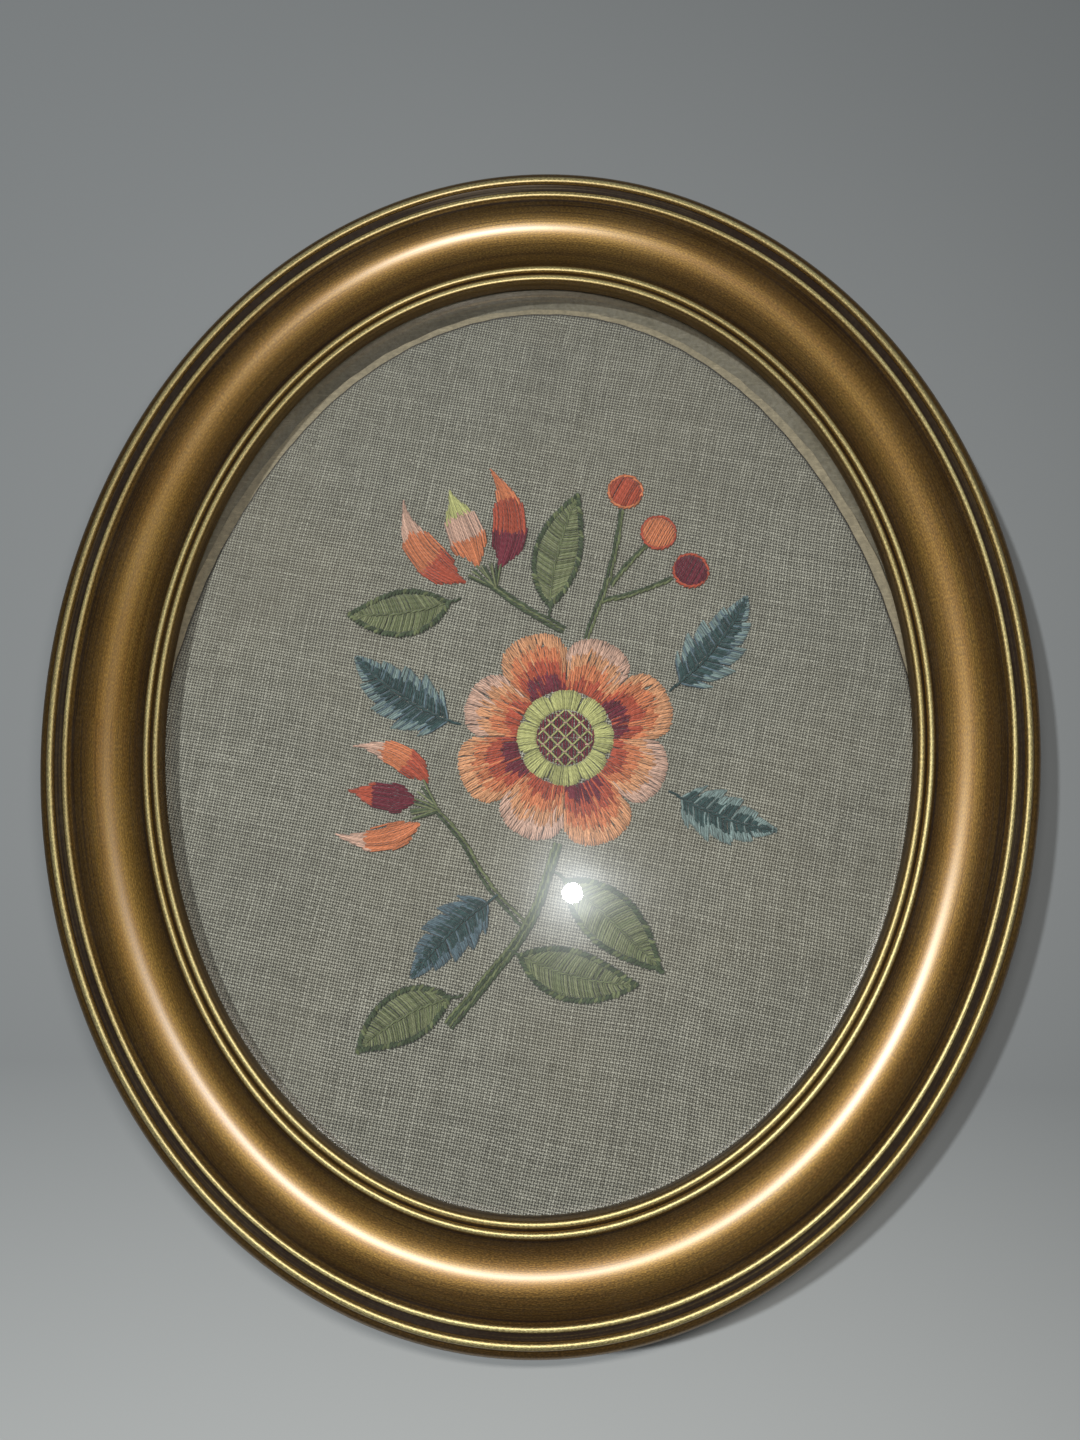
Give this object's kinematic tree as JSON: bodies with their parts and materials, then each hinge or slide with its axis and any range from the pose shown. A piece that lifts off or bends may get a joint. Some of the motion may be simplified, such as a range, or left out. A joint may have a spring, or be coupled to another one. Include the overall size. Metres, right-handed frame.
{
  "type": "crewel embroidery panel with its oval glazed frame",
  "caption": "Crewel embroidery panel: a raised wool flower spray on linen, on its mounting board, behind glass in an oval gilded moulding with a scooped face.",
  "frame": {"origin": "middle of the flat back, in the plane of the moulding's back face, with the panel lying on its back", "axes": "+Y towards the top of the picture, along the oval's long axis; +X to the picture's right; +Z out of the face"},
  "size_m": [0.2468, 0.2958, 0.0239],
  "materials": {
    "gilt": "antique gold leaf tone over wood, satin, brown glaze in the grooves",
    "pane": "clear polished picture glass",
    "linen": "natural linen, plain weave, matte",
    "tan_board": "tan card, cut by hand, matte",
    "grey_board": "grey-brown card, matte",
    "wool_coral": "coral crewel wool, matte",
    "wool_peach": "peach crewel wool, matte",
    "wool_brick": "brick crewel wool, matte",
    "wool_burgundy": "burgundy crewel wool, matte",
    "wool_lime": "lime crewel wool, matte",
    "wool_olive": "olive crewel wool, matte",
    "wool_dark_green": "dark green crewel wool, matte",
    "wool_teal": "teal crewel wool, matte",
    "wool_pale_teal": "pale teal crewel wool, matte",
    "wool_slate": "slate crewel wool, matte"
  },
  "bodies": {
    "root": {"moulding": "gilt", "pane": "pane", "linen": "linen", "mounting_board": "tan_board", "backing_board": "grey_board", "flower_middle": "wool_burgundy", "petal_1": "wool_coral", "sepal_1": "wool_lime", "petal_2": "wool_peach", "sepal_2": "wool_lime", "petal_3": "wool_coral", "sepal_3": "wool_lime", "petal_4": "wool_peach", "sepal_4": "wool_lime", "petal_5": "wool_coral", "sepal_5": "wool_lime", "petal_6": "wool_peach", "sepal_6": "wool_lime", "petal_7": "wool_coral", "sepal_7": "wool_lime", "petal_8": "wool_peach", "sepal_8": "wool_lime", "leaf_right": "wool_olive", "leaf_foot": "wool_olive", "leaf_low": "wool_olive", "leaf_left": "wool_olive", "leaf_top": "wool_olive", "twig_high": "wool_olive", "twig_middle": "wool_olive", "twig_low": "wool_olive", "twig_bud": "wool_olive", "cup_middle": "wool_peach", "cup_left": "wool_coral", "cup_right": "wool_brick", "bud_middle": "wool_burgundy", "bud_left": "wool_peach", "bud_right": "wool_coral", "frond_left": "wool_teal", "frond_right": "wool_teal", "frond_low": "wool_pale_teal", "frond_stem": "wool_slate", "berry_high": "wool_brick", "berry_middle": "wool_coral", "berry_low": "wool_burgundy", "stem_low": "wool_dark_green", "stem_high": "wool_dark_green"}
  },
  "joints": []
}
